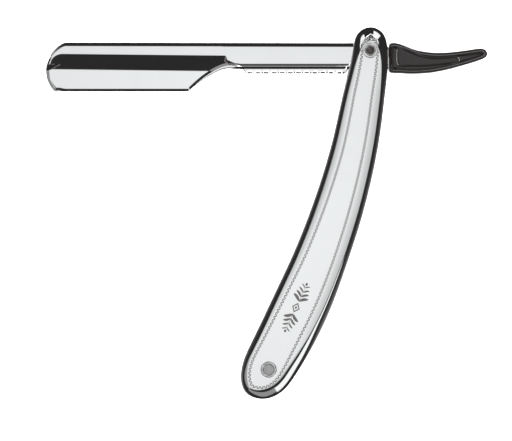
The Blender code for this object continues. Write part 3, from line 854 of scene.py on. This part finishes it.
def leaf_section(x, throat, side, relief, set_back, front_bevel):
    """A leaf's cross-section at x: spine, outer face, jaw, and back along the inner face."""
    top, bottom = leaf_edges(x, throat, set_back)
    ahead, behind = (leaf_edges(x + step, throat, 0.0)[1] for step in (0.2, -0.2))
    lean = math.hypot(1.0, (ahead - behind) / 0.4) if HEAD_END_X + 0.3 < x < -47.5 else 1.0
    y = leaf_rows(top, bottom, x)
    span = top - bottom
    if x > 5.5:
        z = leaf_end_height(x) + 0 * y
    else:
        z = hollow_height(x, y)
    if x < HUB_X:
        width = LOWER_RIM + 0.05 * float(ease(x, -56.0, -49.0))
        slope = 0.2 + 0.3 * float(ease(x, -49.5, -47.5))
        z = z - rim_drop(top - y, 1.35, 0.5, 8.0)
        fullness = 7.0 + 3.0 * under_shank(x)
        z = z - rim_drop((y - bottom) / lean, width, slope, fullness)
        z = z - rim_drop(y - bottom, 0.3, 0.45 * under_shank(x), 4.0)
        if x < HEAD_CENTRE[0]:
            inside = np.maximum(HEAD_R - np.hypot(x - HEAD_CENTRE[0], y - HEAD_CENTRE[1]), 0.0)
            low = ease(-y, 4.5, 7.0)
            tip_rim = rim_drop(inside, 1.0 + 0.2 * low, 0.5 - 0.14 * low, 4.0 + 8.0 * low)
            z = np.minimum(z, hollow_height(x, y) - tip_rim)
    inner = LEAF_GAP + (relief if x < RELIEF_END_X else 0.0)
    z = np.maximum(z, inner + 0.07)
    step = min(max(RELIEF_TOP_Y, bottom + 0.3 * span), top - 0.3 * span)
    bevel = 0.0
    if x < HUB_X:
        bevel = front_bevel * float(0.36 * ease(x, -66.0, -61.0) + 0.64 * ease(x, -51.0, -47.0))
    depth = min(0.5 * bevel, z[-1] - LEAF_GAP - 0.15)
    section = [(x, py, pz) for py, pz in zip(y, z)]
    section.append((x, bottom, inner + 0.05 + depth))
    section.append((x, bottom + max(bevel, 0.02 * span), inner))
    section.append((x, step, inner))
    section.append((x, step + 0.02 * span, LEAF_GAP))
    section.append((x, top - 0.02 * span, LEAF_GAP))
    section.append((x, top, LEAF_GAP + 0.05))
    return [(px, py, MIDDLE_Z + side * pz) for px, py, pz in section]


def leaf_end_height(x):
    """The hub slopes down beside the scales, with a narrow level ledge, and then steps down to the tang."""
    if x > HUB_X:
        return TANG_Z
    return LEAF_Z - HUB_FALL * (max(min(x, HUB_LEDGE[0]) - HUB_START_X, 0.0) + max(x - HUB_LEDGE[1], 0.0))


def leaf_stations():
    """Where a leaf's sections stand: by angle at the tip, close together at the throat and the hub."""
    angles = (1.2, 2.4, 3.8, 5.4, 7.2, 9, 11, 13, 15.5)
    tip = [HEAD_CENTRE[0] - HEAD_R * math.cos(math.radians(a)) for a in angles]
    head = [*np.arange(tip[-1] + 0.13, -112.0, 0.13), *np.arange(-111.8, HEAD_END_X - 0.3, 0.45)]
    throat = np.arange(HEAD_END_X, -46.9, 0.16)
    shank = np.arange(-46.6, HUB_X - 1.3, 0.8)
    hub = [5.58, 5.62, 5.8, 6.0, 6.2, 6.4, 6.44, 6.5, 6.6, 6.64, 6.68]
    return [*tip, *head, *throat, *shank, *hub, HUB_X + 0.001, 12.0, TANG_END_X]


def make_leaf(name, throat, side, steel, relief=0.0, set_back=0.0, front_bevel=0.0):
    shape = (throat, side, relief, set_back, front_bevel)
    sections = [leaf_section(x, *shape) for x in leaf_stations()]
    points = [p for section in sections for p in section]
    leaf = mesh_object(name, points, loft_faces(len(sections), len(sections[0])), [steel])
    drill(leaf, 0.0, 0.0, LEAF_BORE_R, sharp_deg=13.0)
    return leaf


def jimp_sections():
    """Cross-sections of the grooved strip under the main leaf's shank."""
    first = JIMP_START_X + JIMP_SLOPE + 0.5 * JIMP_PITCH
    sections = []
    for x in np.arange(JIMP_START_X, JIMP_END_X + 0.01, 0.1):
        ramp = min((x - JIMP_START_X) / JIMP_SLOPE, (JIMP_END_X - x) / JIMP_SLOPE, 1.0)
        top = JIMP_TOP_Y
        floor = top - 0.05 + (JIMP_BOTTOM_Y - top + 0.05) * max(ramp, 0.0)
        nearest = first + JIMP_PITCH * round(min(max((x - first) / JIMP_PITCH, 0), JIMP_COUNT - 1))
        scoop = 0.5 * math.sqrt(max(1 - ((x - nearest) / 1.15) ** 2, 0.0))
        if ramp > 0.98:
            bite = min(JIMP_CHAMFER + scoop, 0.6 * (top - floor))
        else:
            bite = min(JIMP_CHAMFER, 0.5 * (top - floor))
        section = [(top, JIMP_BACK_Z), (top, JIMP_FRONT_Z), (floor + bite, JIMP_FRONT_Z)]
        foot = min(JIMP_CHAMFER, bite)
        for height in np.linspace(0.85 * bite, 0.04 * bite, 7):
            fall = JIMP_FALL * (bite - max(height, foot)) + 0.5 * max(foot - height, 0.0)
            section.append((floor + height, JIMP_FRONT_Z - fall))
        section.append((floor, JIMP_FRONT_Z - JIMP_FALL * (bite - foot) - 0.5 * foot - 0.05))
        section.append((floor, JIMP_BACK_Z))
        sections.append([(x, y, MIDDLE_Z + z) for y, z in section])
    return sections


def make_main_leaf(steel):
    """The rear leaf, whose lower edge carries the jimps."""
    leaf = make_leaf("main_leaf_fine", MAIN_THROAT, -1, steel, front_bevel=MAIN_BEVEL)
    sections = jimp_sections()
    points = [p for section in sections for p in section]
    strip = mesh_object("jimps", points, loft_faces(len(sections), len(sections[0])), [steel])
    combine(leaf, strip, "UNION", sharp_deg=13.0)
    return as_piece(leaf, "blade_arm", ["main_leaf"])


def make_cover_leaf(steel):
    leaf = make_leaf("cover_leaf_fine", COVER_THROAT, 1, steel, COVER_RELIEF, COVER_SET_BACK)
    return as_piece(leaf, "cover", ["cover_leaf"])


# ---------------------------------------------------------------- rivets


def make_rivets(steel_at):
    """The pivot's pin, bush and collars, and the lower end's eyelet, collar and spacer."""
    pivot_steel = steel_at("pivot_rivet_steel", (0.0, 0.0))
    # Painted shade: the pin's dark brown tint stands in for the shade and dark reflections in its dished
    # ends.
    pin_shaded_steel = steel_at("pivot_pin_steel", (0.0, 0.0), (0.36, 0.33, 0.32), (0.3, 0.42))
    end_steel = steel_at("end_rivet_steel", (END_X, END_Y))
    brass = turned_steel("washer_brass_fine", (0.0, 0.0), (0.78, 0.62, 0.34), (0.2, 0.35))
    front_seat = FRONT_OUTSIDE_Z + SEAT_GAP
    rear_seat = RING_PROUD - SEAT_GAP
    low, high = REAR_INSIDE_Z + SEAT_GAP, FRONT_INSIDE_Z - SEAT_GAP

    def collar(inner, outer, seat, face):
        way = math.copysign(1.0, face - seat)
        soft = 0.3
        rounded = [(r, face - way * soft + way * z) for r, z in arc(outer - soft, 0.0, soft, 0, 90)]
        hole = [(r, face - way * soft + way * z) for r, z in arc(inner + soft, 0.0, soft, 90, 180)]
        return [(inner, seat), (outer - 0.05, seat), (outer, seat + way * 0.05), *rounded, *hole]

    below = [(r, PIN_END + z) for r, z in PIN_DISH]
    above = [(r, TOP_Z - PIN_END - z) for r, z in reversed(PIN_DISH)]
    shank = [(PIN_R, rear_seat - 0.05), (1.55, rear_seat), (1.55, front_seat), (PIN_R, front_seat + 0.05)]
    pin = [*below, *shank, *above]

    def bush(inner, outer):
        return [(inner, low), (outer, low), (outer, high), (inner, high)]

    play = (HANDLE_GAP - 2 * LEAF_Z - 2 * WASHER_THICK) / 4
    rear_washer, front_washer = REAR_INSIDE_Z + play, FRONT_INSIDE_Z - play - WASHER_THICK

    def washer(z):
        top = z + WASHER_THICK
        return [(2.15, z), (4.2, z), (4.3, z + 0.1), (4.3, top - 0.1), (4.2, top), (2.15, top)]

    bulge = arc(2.57, TOP_Z - 0.38, 0.38, 0, 90, 7)
    mouth = arc(2.21, TOP_Z - 0.36, 0.36, 90, 180, 7)
    roll = [(1.7, 0.12), (1.97, 0.0), (2.43, 0.0), (2.55, 0.1), (2.55, 0.25), (2.3, 0.25)]
    eyelet = [*roll, (2.3, front_seat), (2.9, front_seat), (2.95, front_seat + 0.06), *bulge, *mouth]
    end_collar = [(2.35, rear_seat), (2.35, 0.3), (2.6, 0.3), (2.6, 0.0), (2.86, 0.0), (2.95, 0.1)]
    end_collar.append((2.95, rear_seat))
    pieces = (
        ("pivot_pin", pin, 0.0, 0.0, pin_shaded_steel, "rivet_steel"),
        ("pivot_bush", bush(1.6, 2.1), 0.0, 0.0, pivot_steel, "rivet_steel"),
        ("pivot_ring_front", collar(1.7, 2.85, front_seat, TOP_Z), 0.0, 0.0, pivot_steel, "rivet_steel"),
        ("pivot_ring_rear", collar(1.7, 2.85, rear_seat, 0.0), 0.0, 0.0, pivot_steel, "rivet_steel"),
        ("pivot_washer_rear", washer(rear_washer), 0.0, 0.0, brass, "washer_brass"),
        ("pivot_washer_front", washer(front_washer), 0.0, 0.0, brass, "washer_brass"),
        ("end_eyelet", eyelet, END_X, END_Y, end_steel, "rivet_steel"),
        ("end_collar", end_collar, END_X, END_Y, end_steel, "rivet_steel"),
        ("end_spacer", bush(2.35, 2.9), END_X, END_Y, end_steel, "rivet_steel"),
    )
    for name, profile, x, y, material, slot in pieces:
        points, faces = turned(profile, x, y)
        as_piece(mesh_object(f"{name}_fine", points, faces, [material]), "handle", [name])


def make_studs(steel_at):
    """Blade studs with rounded heads, pressed into the main leaf."""
    for name, x in STUD_XS.items():
        head = [(r, MIDDLE_Z + z) for r, z in arc(0.75, 0.05, 0.15, 0, 90)]
        profile = [(0.0, MIDDLE_Z - 0.4), (0.9, MIDDLE_Z - 0.4), *head, (0.0, MIDDLE_Z + 0.2)]
        points, faces = turned(profile, x, STUD_Y, 48)
        stud = mesh_object(f"{name}_fine", points, faces, [steel_at(f"{name}_steel", (x, STUD_Y))])
        as_piece(stud, "blade_arm", [name])


# ---------------------------------------------------------------- tail


def evenly(points, count):
    """Evenly spaced points on a dense closed curve."""
    run = run_length(points)
    closed = np.vstack([points, points[:1]])
    at = np.arange(count) / count * run[-1]
    return np.stack([np.interp(at, run, closed[:, k]) for k in (0, 1)], axis=1)


def nearest_start(outer, inner):
    """Turns the inner loop so that its first point is the one nearest to the outer loop's first point."""
    first = int(np.argmin(np.linalg.norm(inner - outer[0], axis=1)))
    return np.roll(inner, -first, axis=0)


def make_tang_grip(plastic, lip_highlight):
    """The moulded tail: a bevel and a raised rim round it, and a sunk panel on each side."""
    count = 420
    outer = evenly(closed_spline(GRIP_OUTLINE), count)
    normals = outward_normals(outer)
    panel = nearest_start(outer, evenly(closed_spline(GRIP_PANEL), count))
    panel_normals = outward_normals(panel)
    edge = (
        (0.0, 0.85), (0.03, 1.1), (0.1, 1.3), (0.2, 1.44), (0.32, 1.54), (0.5, 1.62), (0.72, 1.7),
        (0.9, 1.78), (0.96, 1.86), (1.02, 1.95), (1.12, 2.03), (1.3, 2.1), (1.6, 2.17), (1.9, GRIP_HALF),
    )
    wall = (
        (-0.45, GRIP_HALF), (-0.22, GRIP_HALF - 0.02), (-0.14, GRIP_HALF - 0.05), (-0.07, GRIP_HALF - 0.14),
        (0.0, GRIP_HALF - 0.32), (0.07, GRIP_HALF - 0.41), (0.16, GRIP_HALF - 0.44),
        (0.4, GRIP_HALF - GRIP_SUNK),
    )
    thin = np.clip(np.linalg.norm(outer - panel, axis=1) - 0.5, 0.6, 2.5)
    side = [(outer - normals * (inset * np.minimum(thin / 1.9, 1.0))[:, None], z) for inset, z in edge]
    side += [(panel - panel_normals * inset, z) for inset, z in wall]
    rows = [(flat, -z) for flat, z in reversed(side)] + side
    points = np.vstack([np.column_stack([flat, np.full(count, MIDDLE_Z + z)]) for flat, z in rows])
    faces = loft_faces(len(rows), count)
    marks = np.zeros(len(faces), int)
    # Painted highlight: the lip at each end of the sunk panels takes the pale plastic.
    left = (panel[:, 0] < 10.6) & (panel[:, 1] < 0.5) & (panel[:, 1] > -5.1)
    right = (panel[:, 0] > 31.3) & (panel[:, 1] < -2.7)
    for row in (len(rows) - 7, 5):
        marks[1 + row * count : 1 + (row + 1) * count] = left | right
    grip = mesh_object("tang_grip_fine", points, faces, [plastic, lip_highlight], marks)
    for (x0, y0, z0), (x1, y1, z1) in (
        ((3.3, -5.95, MIDDLE_Z - 1.2), (30.05, -2.25, MIDDLE_Z + 0.5)),
        ((3.3, -15.0, MIDDLE_Z), (30.05, -2.25, MIDDLE_Z + 1.2)),
    ):
        corners = [(x, y, z) for z in (z0, z1) for x, y in ((x0, y0), (x1, y0), (x1, y1), (x0, y1))]
        combine(grip, mesh_object("cutter", corners, loft_faces(2, 4), [plastic]), "DIFFERENCE")
    return as_piece(grip, "blade_arm", ["tang_grip"])


# ---------------------------------------------------------------- studio


def make_floor():
    corners = [(x * FLOOR_HALF, y * FLOOR_HALF, 0) for x, y in ((-1, -1), (1, -1), (1, 1), (-1, 1))]
    mesh = bpy.data.meshes.new("studio_floor")
    mesh.from_pydata(corners, [], [(0, 1, 2, 3)])
    mesh.materials.append(floor_material())
    floor = bpy.data.objects.new("studio_floor", mesh)
    bpy.context.scene.collection.objects.link(floor)


def make_lights():
    """A broad soft light for matt surfaces, hidden from glossy rays and from the camera."""
    data = bpy.data.lights.new("key_light", "AREA")
    data.shape = "RECTANGLE"
    data.size = 3.6
    data.size_y = 3.6
    data.energy = 290.0
    key = bpy.data.objects.new("key_light", data)
    key.location = (0.0, 0.0, 1.8)
    key.visible_glossy = False
    key.visible_camera = False
    bpy.context.scene.collection.objects.link(key)


def make_sky():
    """A dark studio with an overhead softbox, smaller ones round it and a warm grey horizon."""
    world = bpy.data.worlds.new("studio_sky")
    bpy.context.scene.world = world
    world.use_nodes = True
    n = Nodes(world.node_tree)
    background = world.node_tree.nodes["Background"]
    way = n.add("ShaderNodeTexCoord").outputs["Generated"]
    x, y, z = n.add("ShaderNodeSeparateXYZ", Vector=way).outputs
    degrees = 180 / math.pi
    polar = n.math("MULTIPLY", n.math("ARCCOSINE", z), degrees)
    azimuth = n.math("MULTIPLY", n.math("ARCTAN2", y, x), degrees)
    above = n.math("MAXIMUM", z, 0.01)
    lean_x = n.math("MULTIPLY", n.math("ARCTANGENT", n.math("DIVIDE", x, above)), degrees)
    lean_y = n.math("MULTIPLY", n.math("ARCTANGENT", n.math("DIVIDE", y, above)), degrees)
    overhead = n.remap(polar, 0.5, 8.5, 0.93, 0.52)
    edges = ((lean_x, -10.8, -9.0), (lean_x, 12.0, 9.5), (lean_y, -11.0, -9.2), (lean_y, 12.0, 9.5))
    for lean, dark, bright in edges:
        overhead = n.math("MULTIPLY", overhead, n.remap(lean, dark, bright, 0.0, 1.0, True))
    total = n.math("ADD", overhead, n.remap(polar, 60.0, 78.0, 0.024, 0.46, True))
    for middle, tilt, wide, high, soft, power in SOFTBOXES:
        turn = n.math("MODULO", n.math("ADD", azimuth, 540.0 - middle), 360.0)
        off = n.math("ABSOLUTE", n.math("SUBTRACT", turn, 180.0))
        lift = n.math("ABSOLUTE", n.math("SUBTRACT", polar, tilt))
        mask = n.remap(off, wide + soft, wide, 0.0, 1.0, True)
        mask = n.math("MULTIPLY", mask, n.remap(lift, high + soft, high, 0.0, 1.0, True))
        total = n.math("ADD", total, n.math("MULTIPLY", mask, power))
    warm = n.colours(n.remap(total, 0.1, 0.6, 0.0, 1.0), (1.0, 0.955, 0.94), (0.985, 1.0, 1.0))
    camera_ray = n.add("ShaderNodeLightPath").outputs["Is Camera Ray"]
    seen = n.add("ShaderNodeMix", {"data_type": "FLOAT"})
    n.link(camera_ray, seen, "Factor")
    n.link(total, seen, 2)
    seen.inputs[3].default_value = 0.95
    n.link(seen.outputs[0], background, "Strength")
    n.link(warm, background, "Color")


def make_camera():
    """Looks straight down at the open razor from far enough to keep its sides out of sight."""
    data = bpy.data.cameras.new("camera")
    data.sensor_width = 36.0
    data.lens = data.sensor_width * VIEW_HEIGHT / VIEW_WIDTH
    data.clip_start = 0.05
    data.clip_end = 20.0
    camera = bpy.data.objects.new("camera", data)
    camera.location = (*VIEW_CENTRE, VIEW_HEIGHT)
    bpy.context.scene.collection.objects.link(camera)
    bpy.context.scene.camera = camera


def main():
    steel = polished_steel("scale_steel", grain_deg=-20.0)
    leaf_steel = polished_steel("leaf_steel")
    groove = engraved_steel("engraving")
    make_scale("front_scale_fine", "front_scale", FRONT_INSIDE_Z, 1, steel, groove)
    make_scale("rear_scale_fine", "rear_scale", REAR_INSIDE_Z, -1, steel, groove)
    make_ornament(groove)
    make_main_leaf(leaf_steel)
    make_cover_leaf(leaf_steel)
    make_rivets(turned_steel)
    make_studs(turned_steel)
    make_tang_grip(black_plastic("tail_plastic"), lip_highlight_plastic("tail_lip_highlight"))
    make_floor()
    make_lights()
    make_sky()
    make_camera()
    bpy.context.scene.view_settings.view_transform = "Standard"


main()
bpy.context.view_layer.update()
